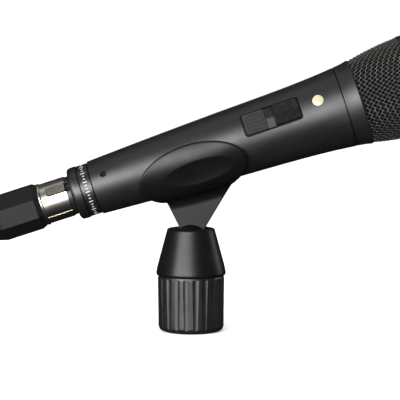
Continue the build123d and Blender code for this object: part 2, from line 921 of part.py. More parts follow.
with BuildPart() as stem_channel:
    for place in (cheek_start - 8, cheek_centre, cheek_end + 8):
        add(stem_section(place))
    loft()


def clip_outline(offset):
    """Solid of the clip's outer skin before the cheeks are cut, moved outwards by offset."""
    with BuildPart() as skin:
        with BuildSketch(MIC_SIDE):
            with BuildLine():
                first = (cheek_start - 1, handle_radius(cheek_start) + clip_wall_end + offset)
                middle = (cheek_centre, handle_radius(cheek_centre) + clip_wall_middle + offset)
                last = (cheek_end + 1, handle_radius(cheek_end) + clip_wall_end + offset)
                ThreePointArc(first, middle, last)
                Polyline(last, (cheek_end + 1, 0), (cheek_start - 1, 0), first)
            make_face()
        revolve(axis=MIC_AXIS)
    return skin.part


cheek_plane = Plane(
    origin=TAIL + ALONG * cheek_centre - UPWARD * cheek_drop, x_dir=ALONG, z_dir=FRONT
)
with BuildPart() as clip_shell:
    with BuildSketch(cheek_plane):
        Ellipse(cheek_half_length, cheek_half_height)
    extrude(amount=30, both=True)
    add(clip_outline(0), mode=Mode.INTERSECT)
    fillet(clip_shell.edges().filter_by(GeomType.BSPLINE), cheek_round)


def dimple_tool(turn):
    """Shallow dish of a thumb dimple, as a barrel turned about a line outside the cheek."""
    line_height = clip_radius(dimple_station) + dimple_reach
    side = Plane(
        origin=TAIL + ALONG * dimple_station + around(turn) * line_height,
        x_dir=ALONG,
        z_dir=ALONG.cross(around(turn)),
    )
    half = cheek_half_length
    depth = dimple_reach + dimple_depth
    with BuildPart() as tool:
        with BuildSketch(side):
            with BuildLine():
                end_depth = depth - half**2 / (2 * dimple_bow)
                ThreePointArc((-half, -end_depth), (0, -depth), (half, -end_depth))
                Polyline((half, -end_depth), (half, 0), (-half, 0), (-half, -end_depth))
            make_face()
        revolve(axis=Axis(side.origin, ALONG))
    return tool.part


with BuildPart() as clip_cradle:
    add(stem_fan.part)
    add(stem_channel.part, mode=Mode.INTERSECT)
    add(clip_shell.part)
    add(handle_core(clip_gap), mode=Mode.SUBTRACT)
    for turn in (dimple_turn, -dimple_turn):
        add(dimple_tool(turn), mode=Mode.SUBTRACT)
    with BuildSketch(Plane.XY.offset(stem_bottom - 1)):
        Circle(ball_screw_radius)
    extrude(amount=1 + stem_screw_depth, mode=Mode.SUBTRACT)
clip_cradle.part.label = "clip_cradle"


with BuildPart() as swivel_ball:
    with Locations((0, 0, ball_height)):
        Sphere(ball_radius)
    with BuildSketch(Plane.XY.offset(ball_height - ball_radius - 1)):
        Circle(ball_counterbore)
    extrude(amount=5.2, mode=Mode.SUBTRACT)
    with BuildSketch(Plane.XY.offset(ball_height - ball_radius)):
        Circle(ball_screw_radius)
    extrude(amount=2 * ball_radius, mode=Mode.SUBTRACT)
    add(clip_cradle.part, mode=Mode.SUBTRACT)
swivel_ball.part.label = "swivel_ball"

screw_head_height = ball_height - ball_radius + 4.2
with BuildPart() as ball_screw:
    with BuildSketch(Plane.XY.offset(screw_head_height)):
        Circle(ball_screw_radius)
    extrude(amount=stem_bottom + stem_screw_depth - screw_head_height)
    with BuildSketch(Plane.XY.offset(screw_head_height - 2.4)):
        Circle(ball_screw_head)
    extrude(amount=2.4)
    with BuildSketch(Plane.XY.offset(screw_head_height - 2.4)):
        RegularPolygon(ball_screw_hex, 6)
    extrude(amount=1.4, mode=Mode.SUBTRACT)
ball_screw.part.label = "ball_screw"

# ============================ line connector ============================
shell_start = -shell_front
shell_end = shell_start - shell_visible
latch_roll = switch_roll - latch_turn
nose_start = cup_depth - cup_recess - nose_length
collar_ring_end = -seam_gap

with BuildPart() as line_insert:
    add(
        turned(
            [
                (nose_start + nose_length, 0),
                (nose_start + nose_length, nose_radius - 0.4),
                (nose_start + nose_length - 0.4, nose_radius),
                (collar_ring_end, nose_radius),
                (collar_ring_end, shell_radius - 0.5),
                (shell_start + 0.02, shell_radius - 0.35),
                (shell_start + 0.02, shell_radius - shell_wall),
                (shell_end, shell_radius - shell_wall),
                (shell_end, 0),
            ]
        )
    )
    with BuildSketch(station(nose_start + nose_length)):
        with Locations(*pin_places):
            Circle(pin_diameter / 2 + contact_bore)
    extrude(amount=-(nose_length + 12), mode=Mode.SUBTRACT)
    with BuildSketch(facing(shell_start - 3.6, nose_radius - 1.9, latch_roll)):
        Rectangle(latch_length + 6.0, latch_width + 0.7)
    extrude(amount=20, mode=Mode.SUBTRACT)
line_insert.part.label = "line_insert"

with BuildPart() as line_sockets:
    with BuildSketch(station(nose_start + nose_length - 0.5)):
        with Locations(*pin_places):
            Circle(pin_diameter / 2 + contact_bore)
            Circle(pin_diameter / 2 + 0.12, mode=Mode.SUBTRACT)
    extrude(amount=-14)
line_sockets.part.label = "line_sockets"

slot_end = shell_start - latch_length - 2 * latch_clearance
window_reach = shell_start - slot_end + 5
with BuildPart() as line_shell:
    add(
        tube(shell_end, shell_start, shell_radius, shell_radius - shell_wall)
        + tube(shell_end - shell_hidden, shell_end, shell_radius - 0.6, shell_radius - 1.5)
    )
    with BuildSketch(MIC_SIDE):
        with BuildLine():
            Polyline(
                (shell_end + shell_lip_length, shell_radius - shell_wall / 2),
                (shell_end, shell_radius - shell_wall / 2),
                (shell_end, shell_radius),
            )
            ThreePointArc(
                (shell_end, shell_radius),
                (shell_end + shell_lip_length / 2, shell_radius + shell_lip),
                (shell_end + shell_lip_length, shell_radius),
            )
            Line(
                (shell_end + shell_lip_length, shell_radius),
                (shell_end + shell_lip_length, shell_radius - shell_wall / 2),
            )
        make_face()
    revolve(axis=MIC_AXIS)
    with BuildSketch(facing(slot_end + window_reach / 2, 0, latch_roll)):
        RectangleRounded(window_reach, latch_width + 2 * latch_clearance, 1.0)
    extrude(amount=20, mode=Mode.SUBTRACT)
    with BuildSketch(facing((shell_start + shell_end) / 2, shell_radius - 0.25, shell_groove_turn)):
        with Locations((shell_lip_length, 0)):
            Rectangle(shell_visible, 0.4)
    extrude(amount=1, mode=Mode.SUBTRACT)
line_shell.part.label = "line_shell"

button_top = shell_radius + 0.35
button_floor = nose_radius - 1.9 + latch_travel + 0.2
button_start = slot_end + latch_clearance
with BuildPart() as latch_button:
    with BuildSketch(facing(button_start + latch_length / 2, button_floor, latch_roll)):
        RectangleRounded(latch_length, latch_width, 0.7)
    extrude(amount=button_top - button_floor)
    rib_pitch = (latch_length - 2.4) / latch_ribs
    for rib in range(latch_ribs):
        groove = button_start + 1.6 + rib_pitch * (rib + 0.5)
        with BuildSketch(facing(groove, button_top, latch_roll)):
            Rectangle(rib_pitch * 0.45, latch_width + 1)
        extrude(amount=-0.5, mode=Mode.SUBTRACT)
latch_button.part.label = "latch_button"

with BuildPart() as latch_spring:
    spring_floor = nose_radius - 1.9
    with BuildSketch(facing(button_start + latch_length / 2, spring_floor, latch_roll)):
        Rectangle(latch_length - 1.5, 2.2)
    extrude(amount=0.15)
latch_spring.part.label = "latch_spring"

boot_start = shell_end
boot_straight_end = boot_start - boot_straight
boot_end = boot_straight_end - boot_taper
boot_corner = boot_across_flats / 2 / cos(radians(180 / boot_sides))
with BuildPart() as line_boot:
    with BuildSketch(station(boot_start - boot_shoulder, boot_turn)):
        RegularPolygon(boot_corner, boot_sides)
    extrude(amount=-(boot_straight - boot_shoulder))
    with BuildSketch(station(boot_start - boot_shoulder, boot_turn)):
        RegularPolygon(boot_corner, boot_sides)
    with BuildSketch(station(boot_start, boot_turn)):
        RegularPolygon(boot_corner - boot_corner_round, boot_sides)
    loft()
    with BuildSketch(station(boot_straight_end, boot_turn)):
        RegularPolygon(boot_corner, boot_sides)
    with BuildSketch(station(boot_end, boot_turn)):
        RegularPolygon(cable_end_radius, boot_sides)
    loft()
    add(tube(boot_start - shell_hidden - 0.5, boot_start + 1, shell_radius - 0.6, 0), mode=Mode.SUBTRACT)
    add(
        turned(
            [
                (boot_start - shell_hidden, 0),
                (boot_start - shell_hidden, shell_radius - 1.3),
                (boot_start - shell_hidden - 5, shell_radius - 2.0),
                (boot_end + 12, cable_radius),
                (boot_end - 1, cable_radius),
                (boot_end - 1, 0),
            ]
        ),
        mode=Mode.SUBTRACT,
    )
line_boot.part.label = "line_boot"

chuck_start = shell_end - shell_hidden - 4.0
with BuildPart() as cable_chuck:
    add(tube(chuck_start, shell_end - 1.0, shell_radius - 2.4, cable_radius + chuck_bore_gap))
    for turn in (0, 90):
        with BuildSketch(facing(chuck_start + 4, 0, turn)):
            Rectangle(8.2, 1.2)
        extrude(amount=12, both=True, mode=Mode.SUBTRACT)
cable_chuck.part.label = "cable_chuck"

pieces = [
    handle, end_ring, marking_ring, connector_cup, male_insert, contact_pins, set_screw,
    circuit_board, switch_module, board_screws, board_carrier, transformer, damping_plug,
    tail_leads, switch_frame, switch_plate, switch_marker, switch_slider, indicator_dot,
    neck_ring, head_collar, grille_cone, grille_band, grille_dome, windscreen, shock_mount,
    capsule_housing, magnet_yoke, magnet, pole_piece, voice_coil, diaphragm, diaphragm_ring,
    capsule_cap, capsule_leads, stand_base, thread_insert, friction_ring, ball_seat,
    lock_collar, clip_cradle, swivel_ball, ball_screw, line_insert, line_sockets, line_shell,
    latch_button, latch_spring, line_boot, cable_chuck,
]
for piece in pieces:
    export_step(piece.part, f"parts/{piece.part.label}.step")
    print(piece.part.label, piece.part.is_valid, len(piece.part.solids()), round(piece.part.volume, 1))
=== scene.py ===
# %% [markdown]
# # A hand-held dynamic microphone in its stand clip
# The solid model arrives finished: every piece is in place, in metres, and stays where it is.
# This script gives each piece its real finish, and rebuilds the pieces whose look depends on
# fine shape, such as the woven wire head. The frame is loaded first, because every size and
# place below is measured from it.

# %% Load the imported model
import bpy
from math import asin, atan2, ceil, cos, degrees, hypot, pi, radians, sin
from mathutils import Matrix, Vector


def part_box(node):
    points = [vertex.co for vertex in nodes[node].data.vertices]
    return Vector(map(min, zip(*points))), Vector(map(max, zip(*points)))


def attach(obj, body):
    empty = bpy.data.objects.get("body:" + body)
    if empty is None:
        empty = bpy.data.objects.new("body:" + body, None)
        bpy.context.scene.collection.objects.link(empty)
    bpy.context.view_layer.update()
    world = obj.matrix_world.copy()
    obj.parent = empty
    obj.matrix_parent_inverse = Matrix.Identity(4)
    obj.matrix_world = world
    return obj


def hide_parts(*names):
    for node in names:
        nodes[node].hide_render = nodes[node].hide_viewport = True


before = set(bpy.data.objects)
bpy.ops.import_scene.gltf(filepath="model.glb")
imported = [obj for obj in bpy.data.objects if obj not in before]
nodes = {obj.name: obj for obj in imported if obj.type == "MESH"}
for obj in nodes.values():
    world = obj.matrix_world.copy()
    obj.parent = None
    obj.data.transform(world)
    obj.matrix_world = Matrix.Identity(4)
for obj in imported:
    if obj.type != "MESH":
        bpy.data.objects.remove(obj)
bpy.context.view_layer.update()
MM = 0.001
print("pieces in the frame:", len(nodes))

# %% [markdown]
# The microphone is tilted, so most of its pieces are turned about a slanted line. A plain ring
# that is the same at both ends has its box centre exactly on that line. Two such rings, one at
# the tail and one at the head, give the line, and every other place is a distance along it.

# %% Find the microphone's own axis
def middle(node):
    low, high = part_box(node)
    return (Vector(low) + Vector(high)) / 2


tail_centre = middle("marking_ring")
head_dir = (middle("grille_band") - tail_centre).normalized()
side_dir = Vector((0, -1, 0))
up_dir = side_dir.cross(head_dir).normalized()
if up_dir.z < 0:
    up_dir.negate()


def reach(node):
    """Lowest and highest distance of a piece along the axis, and its largest radius."""
    distances, radii = [], []
    for vertex in nodes[node].data.vertices:
        offset = vertex.co - tail_centre
        along = offset.dot(head_dir)
        distances.append(along)
        radii.append((offset - along * head_dir).length)
    return min(distances), max(distances), max(radii)


def on_axis(distance, radius=0.0, turn=0.0):
    """Point at a distance along the axis, at a radius, turned from straight up to the front."""
    outward = up_dir * cos(turn) + side_dir * sin(turn)
    return tail_centre + head_dir * distance + outward * radius


print("tilt in degrees:", round(degrees(asin(head_dir.z)), 2))
print("overall length in mm:", round((reach("grille_dome")[1] - reach("end_ring")[0]) / MM, 1))

# %% [markdown]
# ## Colours and a small node helper
# Paint charts give colours as sRGB hex values, while the shader works with linear light. One
# function does the conversion. A second one makes a material, and a third adds a node with its
# settings and its links, which is all that the patterns below need.

# %% Colour and node helpers
GRAIN_DETAIL, WEAR_DETAIL, TINT_DETAIL = 2.0, 3.0, 4.0
NOISE_LOW, NOISE_HIGH = 0.3, 0.7
BEVEL_SAMPLES = 4


def linear(code):
    """sRGB hex colour as the linear values that a shader takes."""
    channels = [int(code[i:i + 2], 16) / 255 for i in (1, 3, 5)]
    return [c / 12.92 if c <= 0.04045 else ((c + 0.055) / 1.055) ** 2.4 for c in channels] + [1.0]


def new_material(name, colour, roughness, **sockets):
    """Material with one surface shader. Sockets are named with underscores for spaces."""
    material = bpy.data.materials.new(name)
    material.use_nodes = True
    shader = material.node_tree.nodes["Principled BSDF"]
    shader.inputs["Base Color"].default_value = linear(colour)
    shader.inputs["Roughness"].default_value = roughness
    for socket, value in sockets.items():
        shader.inputs[socket.replace("_", " ")].default_value = value
    return material


def add_node(material, kind, inputs=None, **settings):
    """Add a node. An input is a plain value, or (node, output) to link from."""
    node = material.node_tree.nodes.new("ShaderNode" + kind)
    for key, value in settings.items():
        setattr(node, key, value)
    for socket, value in (inputs or {}).items():
        if isinstance(value, tuple) and isinstance(value[0], bpy.types.Node):
            material.node_tree.links.new(value[0].outputs[value[1]], node.inputs[socket])
        else:
            node.inputs[socket].default_value = value
    return node


def feed(material, socket, node, output):
    """Link a node's output to a socket of the material's surface shader."""
    shader = material.node_tree.nodes["Principled BSDF"]
    material.node_tree.links.new(node.outputs[output], shader.inputs[socket])


def grain(material, size_mm, height_mm, edge_mm=0.3):
    """Fine uneven skin of a real bump size and height, with edges that catch light."""
    place = add_node(material, "TexCoord")
    noise = add_node(material, "TexNoise", {
        "Vector": (place, "Object"), "Scale": 1 / (size_mm * MM), "Detail": GRAIN_DETAIL})
    rounding = add_node(material, "Bevel", {"Radius": edge_mm * MM}, samples=BEVEL_SAMPLES)
    bump = add_node(material, "Bump", {
        "Height": (noise, "Fac"), "Distance": height_mm * MM, "Normal": (rounding, "Normal")})
    feed(material, "Normal", bump, "Normal")


def wear(material, low, high, size_mm):
    """Handling leaves a surface unevenly dull: roughness drifts between two values."""
    place = add_node(material, "TexCoord")
    noise = add_node(material, "TexNoise", {
        "Vector": (place, "Object"), "Scale": 1 / (size_mm * MM), "Detail": WEAR_DETAIL})
    spread = add_node(material, "MapRange", {
        "Value": (noise, "Fac"), "From Min": NOISE_LOW, "From Max": NOISE_HIGH,
        "To Min": low, "To Max": high})
    feed(material, "Roughness", spread, "Result")


def tint(material, dark, light, size_mm):
    """Colour that drifts a little between two shades, as a coat or a moulding does."""
    place = add_node(material, "TexCoord")
    noise = add_node(material, "TexNoise", {
        "Vector": (place, "Object"), "Scale": 1 / (size_mm * MM), "Detail": TINT_DETAIL})
    shade = add_node(material, "MixRGB", {
        "Fac": (noise, "Fac"), "Color1": linear(dark), "Color2": linear(light)})
    feed(material, "Base Color", shade, "Color")


# %% New mesh pieces
def new_piece(name, vertices, faces, material, smooth=True):
    """Object in the scene made from points and faces, with one material."""
    mesh = bpy.data.meshes.new(name)
    mesh.from_pydata(vertices, [], faces)
    if smooth:
        mesh.shade_smooth()
    mesh.materials.append(material)
    piece = bpy.data.objects.new(name, mesh)
    bpy.context.scene.collection.objects.link(piece)
    print(name, "has", len(faces), "faces")
    return piece


# %% [markdown]
# ## Powder coat and enamel
# The handle is a metal tube with a matt black powder coat: a baked polymer film, so it is a
# dielectric with an index near 1.5, never a metal. The powder melts into a very fine orange
# peel, which makes its highlight broad and soft. Its bumps are about half a millimetre apart.
# The rings at the tail and the head are sprayed enamel, a little smoother and darker.

# %% Powder coat and enamel
powder_coat = new_material("powder_coat_matt_black", "#0b0b0c", 0.42, IOR=1.5)
grain(powder_coat, 0.55, 0.03)
wear(powder_coat, 0.4, 0.48, 14)
tint(powder_coat, "#080809", "#0e0e0f", 5)

ring_enamel = new_material("enamel_satin_black", "#0c0c0d", 0.36, IOR=1.52)
grain(ring_enamel, 0.6, 0.006)
wear(ring_enamel, 0.33, 0.42, 8)
print("coats:", powder_coat.name, ring_enamel.name)

# %% [markdown]
# ## Moulded plastics
# The clip and its locking collar are moulded nylon from a lightly blasted tool, so they have a
# dull sheen and rounded, softly lit edges. The fluted base and the inner carriers are ABS from a
# spark-eroded tool, which leaves a fine even grain.

# %% Moulded plastics
moulded_gloss = new_material("nylon_moulded_semi_gloss", "#060607", 0.38, Specular_IOR_Level=0.24)
grain(moulded_gloss, 0.5, 0.006, edge_mm=0.9)
wear(moulded_gloss, 0.34, 0.42, 9)
tint(moulded_gloss, "#050506", "#09090a", 7)

moulded_satin = new_material("abs_moulded_satin_black", "#0d0d0e", 0.38, IOR=1.54)
grain(moulded_satin, 0.45, 0.012)
wear(moulded_satin, 0.34, 0.46, 6)
tint(moulded_satin, "#0a0a0b", "#101011", 4)

slider_plastic = new_material("acetal_moulded_black", "#050506", 0.3, Specular_IOR_Level=0.35)
grain(slider_plastic, 0.35, 0.004, edge_mm=0.15)
wear(slider_plastic, 0.28, 0.42, 2)

# The switch frame is black ABS painted darker still, as painted shade in the recess round the
# plate and the slider.
frame_painted_recess_shade = new_material("abs_black_painted_recess_shade", "#030303", 0.62, Specular_IOR_Level=0.1)
grain(frame_painted_recess_shade, 0.3, 0.02)

plate_plastic = new_material("abs_lined_dark_grey", "#121214", 0.55, Specular_IOR_Level=0.25)
grain(plate_plastic, 0.35, 0.01, edge_mm=0.12)
tint(plate_plastic, "#101012", "#1b1b1d", 2)

cream_acrylic = new_material("acrylic_cast_cream", "#8d8971", 0.24, IOR=1.49)
grain(cream_acrylic, 1.2, 0.004)
tint(cream_acrylic, "#888469", "#938f79", 3)
print("plastics:", moulded_gloss.name, moulded_satin.name, plate_plastic.name)

# %% [markdown]
# The little ramp beside the slider is printed light grey on its lower half only, so that the
# slider uncovers it when it moves. The print is a step in colour across the ramp, found from
# the place of the surface point across the switch.

# %% Printed ramp
marker_print = new_material("abs_printed_light_grey", "#3b3a37", 0.5, Specular_IOR_Level=0.2)
switch_out = (middle("indicator_dot") - on_axis(
    (middle("indicator_dot") - tail_centre).dot(head_dir))).normalized()
across = head_dir.cross(switch_out).normalized()
if across.z > 0:
    across.negate()
print_edge = middle("switch_marker").dot(across)
edge_blur = 0.4 * MM
marker_place = add_node(marker_print, "TexCoord")
marker_across = add_node(marker_print, "VectorMath", {
    0: (marker_place, "Object"), 1: across}, operation="DOT_PRODUCT")
marker_step = add_node(marker_print, "MapRange", {
    "Value": (marker_across, "Value"), "From Min": print_edge - edge_blur,
    "From Max": print_edge + edge_blur})
marker_shade = add_node(marker_print, "MixRGB", {
    "Fac": (marker_step, "Result"), "Color1": linear("#070708"), "Color2": linear("#2e2d2b")})
feed(marker_print, "Base Color", marker_shade, "Color")
grain(marker_print, 0.35, 0.01)
print("switch faces", [round(c, 3) for c in switch_out])

# %% [markdown]
# ## Plated and bare metals
# The connector's barrel is zinc, die cast, polished and plated with satin nickel: a metal, so
# its colour is its reflection, slightly warm, and the plating copies a faint casting ripple.
# The parts inside are turned brass, gold-plated contacts, zinc-plated steel and copper wire.

# %% Metals
nickel = new_material("nickel_satin_plated", "#bdb9ae", 0.28, Metallic=1.0)
grain(nickel, 0.8, 0.0002, edge_mm=0.04)
wear(nickel, 0.27, 0.31, 6)

machined_brass = new_material("brass_turned", "#c9a04e", 0.3, Metallic=1.0)
gold_plate = new_material("gold_plated_contact", "#d9b25c", 0.2, Metallic=1.0)
zinc_steel = new_material("steel_zinc_plated", "#a9a9a6", 0.34, Metallic=1.0)
# Black oxide steel, dark enough to be painted shade too: in the seams by the cup and the neck
# ring, and in the set screw's hole.
dark_steel_painted_shade = new_material("steel_black_oxide_painted_shade", "#2a2a2b", 0.42, Metallic=1.0)
magnet_plate = new_material("magnet_nickel_plated", "#8c8c8e", 0.3, Metallic=1.0)
copper_wire = new_material("copper_wire_enamelled", "#b5652f", 0.35, Metallic=1.0)
turned_metals = (machined_brass, gold_plate, zinc_steel, dark_steel_painted_shade, magnet_plate, copper_wire)
for metal in turned_metals:
    grain(metal, 0.3, 0.004)
    wear(metal, 0.24, 0.42, 1.5)
print("metals:", len(turned_metals) + 1)

# %% [markdown]
# ## Soft and small materials
# The boot is a soft elastomer with a dry sheen, the foam inside the head is open-cell
# polyurethane, and the capsule has a film diaphragm, rubber mount and fine covered wires.

# %% Soft and small materials
boot_elastomer = new_material("elastomer_moulded_satin", "#090909", 0.4, Specular_IOR_Level=0.2)
grain(boot_elastomer, 0.5, 0.014)
wear(boot_elastomer, 0.36, 0.5, 7)
tint(boot_elastomer, "#070707", "#0c0c0c", 5)

foam = new_material("polyurethane_foam_open_cell", "#040404", 0.95, Specular_IOR_Level=0.05)
grain(foam, 0.9, 0.3, edge_mm=0.05)
tint(foam, "#030303", "#0b0b0b", 0.9)

soft_rubber = new_material("nitrile_rubber_black", "#161616", 0.6, IOR=1.52)
clear_film = new_material("polyester_film_moulded", "#c4b98e", 0.2, IOR=1.57)
laminate = new_material("glass_laminate_solder_mask", "#0f5a34", 0.3, IOR=1.5)
wire_cover = new_material("pvc_wire_cover_red", "#8a1f1c", 0.45, IOR=1.53)
for small in (soft_rubber, clear_film, laminate, wire_cover):
    grain(small, 0.4, 0.006)
wire_coat = new_material("steel_wire_black_coat", "#21211f", 0.28, IOR=1.5)
grain(wire_coat, 0.3, 0.006, edge_mm=0.02)
tint(wire_coat, "#1a1a18", "#282825", 1.8)
tick_print = new_material("pad_print_light_grey", "#8f8f8d", 0.5, IOR=1.5)
tint(tick_print, "#838381", "#9b9b98", 0.8)
print("soft materials:", boot_elastomer.name, foam.name, soft_rubber.name)

# %% [markdown]
# ## Which piece has which finish
# Every piece of the frame gets one of the finishes above. The cup, the neck ring and the set
# screw are dark black oxide steel that also serves as painted shade: the seams on each side of
# the cup and the ring read as thin black lines, and the screw's hole reads dark.

# %% Give every piece its finish
finish = {
    powder_coat: ["handle", "head_collar"],
    ring_enamel: ["end_ring", "marking_ring", "grille_band"],
    moulded_gloss: ["clip_cradle", "lock_collar", "swivel_ball"],
    moulded_satin: ["stand_base", "ball_seat", "line_insert", "male_insert",
                    "switch_module", "board_carrier", "capsule_housing", "capsule_cap",
                    "diaphragm_ring", "cable_chuck"],
    wire_coat: ["grille_cone", "grille_dome"],
    foam: ["windscreen", "damping_plug"],
    nickel: ["line_shell", "latch_button"],
    boot_elastomer: ["line_boot"],
    plate_plastic: ["switch_plate"],
    slider_plastic: ["switch_slider"],
    frame_painted_recess_shade: ["switch_frame"],
    marker_print: ["switch_marker"],
    cream_acrylic: ["indicator_dot"],
    machined_brass: ["thread_insert"],
    gold_plate: ["contact_pins", "line_sockets"],
    zinc_steel: ["board_screws", "transformer", "magnet_yoke", "pole_piece", "ball_screw",
                 "latch_spring"],
    dark_steel_painted_shade: ["connector_cup", "neck_ring", "set_screw"],
    magnet_plate: ["magnet"],
    copper_wire: ["voice_coil"],
    clear_film: ["diaphragm"],
    laminate: ["circuit_board"],
    wire_cover: ["tail_leads", "capsule_leads"],
    soft_rubber: ["shock_mount", "friction_ring"],
}
for material, names in finish.items():
    for name in names:
        nodes[name].data.materials.clear()
        nodes[name].data.materials.append(material)
print("pieces with a finish:", sum(len(names) for names in finish.values()), "of", len(nodes))

# %% [markdown]
# ## The shape of the head
# The woven head is two drawn shells of wire cloth, a cone and a dome, held by a band. Their
# outlines are measured from the solid pieces: the cone from its foot and shoulder, with a
# slight bulge between, and the dome as a quarter of an ellipse. Both are kept as a table of
# (distance, radius, length along the skin), because the cloth is laid out by length along it.

# %% Outlines of the two shells
wire = 0.46 * MM
weave_rise = wire / 2
skin_inset = wire / 2 + weave_rise
near_band = 0.2 * MM
skin_steps = 120
cone_start, cone_end, _ = reach("grille_cone")
dome_start, dome_end, dome_foot = reach("grille_dome")


def radius_near(node, distance):
    """Largest radius of a piece close to a distance along the axis."""
    best = min(
        abs((v.co - tail_centre).dot(head_dir) - distance) for v in nodes[node].data.vertices)
    near = [
        v.co - tail_centre for v in nodes[node].data.vertices
        if abs((v.co - tail_centre).dot(head_dir) - distance) < best + near_band]
    return max((offset - offset.dot(head_dir) * head_dir).length for offset in near)


cone_foot = radius_near("grille_cone", cone_start)
cone_shoulder = radius_near("grille_cone", cone_end)
cone_bulge = 0.55 * MM


def cone_outline(share):
    """Point (distance, radius) of the cone's skin, from foot to shoulder."""
    straight = cone_foot + (cone_shoulder - cone_foot) * share
    return (cone_start + (cone_end - cone_start) * share,
            straight + 4 * cone_bulge * share * (1 - share) - skin_inset)


def dome_outline(share):
    """Point (distance, radius) of the dome's skin, from the crown down to the band."""
    if share > 1:
        return dome_start - (share - 1) * dome_foot, dome_foot - skin_inset
    angle = share * pi / 2
    return (dome_start + (dome_end - dome_start - skin_inset) * cos(angle),
            (dome_foot - skin_inset) * sin(angle))


def skin_table(outline, first, last):
    """Points along an outline with the length of skin passed so far."""
    rows, length = [], 0.0
    for step in range(skin_steps + 1):
        point = outline(first + (last - first) * step / skin_steps)
        if rows:
            length += hypot(point[0] - rows[-1][0], point[1] - rows[-1][1])
        rows.append((point[0], point[1], length))
    return rows


def on_skin(rows, length):
    """Distance, radius and slope of the skin after a length along it."""
    for before, after in zip(rows, rows[1:]):
        if length <= after[2]:
            break
    share = (length - before[2]) / (after[2] - before[2])
    run, rise = after[0] - before[0], after[1] - before[1]
    span = hypot(run, rise)
    return (before[0] + run * share, before[1] + rise * share, run / span, rise / span)


tuck = 0.04
cone_rows = skin_table(cone_outline, -tuck, 1 + tuck)
dome_rows = skin_table(dome_outline, 0.0, 1 + tuck)
print("skin lengths in mm:", round(cone_rows[-1][2] / MM, 1), round(dome_rows[-1][2] / MM, 1))

# %% [markdown]
# ## Wire cloth
# Real wire cloth is a plain weave: each wire passes over and under the ones that cross it.
# It could be a bump pattern, but the holes and the ragged glints of the wires are the look of
# the head, so every wire is a real tube. The cloth is drawn flat first, as two families of
# straight lines, and then laid on the shell from its centre outwards. That is how a press
# forms it, and why the weave lies square to the axis in one place and diagonally in another.
# The cone's cloth is laid at half the turn, which keeps its holes even around a narrow shell.

# %% Weave a sheet of wire cloth over a skin
pitch = 1.85 * MM
steps = 4
sides = 6


def wire_tube(points, outwards, vertices, faces):
    """Add a closed tube along points, with its cross-sections square to the wire."""
    first = len(vertices)
    for index, point in enumerate(points):
        before, after = points[max(index - 1, 0)], points[min(index + 1, len(points) - 1)]
        tangent = (after - before).normalized()
        side = tangent.cross(outwards[index]).normalized()
        lift = side.cross(tangent)
        for corner in range(sides):
            angle = 2 * pi * corner / sides
            vertices.append(point + (side * cos(angle) + lift * sin(angle)) * wire / 2)
        if index:
            start = len(vertices) - 2 * sides
            for corner in range(sides):
                following = (corner + 1) % sides
                faces.append((start + corner, start + following,
                              start + sides + following, start + sides + corner))
    faces.append(tuple(range(first + sides - 1, first - 1, -1)))
    faces.append(tuple(range(len(vertices) - sides, len(vertices))))


def wire_cloth(name, rows, centre_length, turns, facing):
    """Woven shell. Turns is how often the flat cloth goes round for one turn of the shell."""
    outer = centre_length + rows[-1][2]
    lines = ceil(outer / pitch)
    vertices, faces = [], []
    for family in (0, 1):
        for line in range(-lines, lines + 1):
            points, outwards = [], []
            for step in range(-lines * steps, lines * steps + 2):
                along = step * pitch / steps
                x, y = (along, line * pitch) if family == 0 else (line * pitch, along)
                radius = hypot(x, y)
                covered = turns == 1 or y > 0 or (y == 0 and x > 0) or (
                    family == 1 and step == 0)
                if step <= lines * steps and centre_length <= radius < outer and covered:
                    distance, off, run, rise = on_skin(rows, radius - centre_length)
                    turn = atan2(y, x) / turns
                    radial = up_dir * cos(turn) + side_dir * sin(turn)
                    outward = (radial * abs(run) + head_dir * abs(rise) * facing).normalized()
                    wave = cos(pi * along / pitch) * (-1) ** (line + family)
                    points.append(on_axis(distance, off, turn) + outward * wave * weave_rise)
                    outwards.append(outward)
                elif points:
                    if len(points) > 2:
                        wire_tube(points, outwards, vertices, faces)
                    points, outwards = [], []
    return new_piece(name, vertices, faces, wire_coat)


cone_cloth = wire_cloth("cone_wire_cloth", cone_rows, 2 * cone_foot, 0.5, -1)
dome_cloth = wire_cloth("dome_wire_cloth", dome_rows, 0.0, 1, 1)
for cloth, node in ((cone_cloth, "grille_cone"), (dome_cloth, "grille_dome")):
    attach(cloth, "head")
    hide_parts(node)

# %% [markdown]
# ## Foam lining
# Behind the wires lies a cap of open-cell foam. It is a thick shell, pressed against the cloth,
# so it follows the same outline with a lumpy surface. Lumps of about a millimetre are the
# cells, kept as geometry because they show through the holes of the cloth.

# %% Foam lining
foam_gap = 0.75 * MM
foam_wall = 2.8 * MM
foam_around = 144
cell_height = 0.12 * MM
cone_steps, dome_steps = 24, 36
cell_rows, cell_columns = (2.1, 1.3), (1.7, -2.3)
crown_share = 0.5
foam_outline = [cone_outline(-tuck)]
foam_outline += [cone_outline(step / cone_steps) for step in range(1, cone_steps + 1)]
foam_outline += [dome_outline(1 - step / dome_steps) for step in range(dome_steps + 1)]
crown = foam_outline[-1][0]


def foam_skin(inset):
    """Outline of the foam at an inset from the wire cloth, ending on the axis."""
    points = []
    for distance, radius in foam_outline:
        over = max(distance - dome_start, 0) / (crown - dome_start)
        radius -= inset * (1 - over * crown_share)
        points.append((distance - inset * over, max(radius, 0.0)))
    points[-1] = (crown - inset, 0.0)
    return points


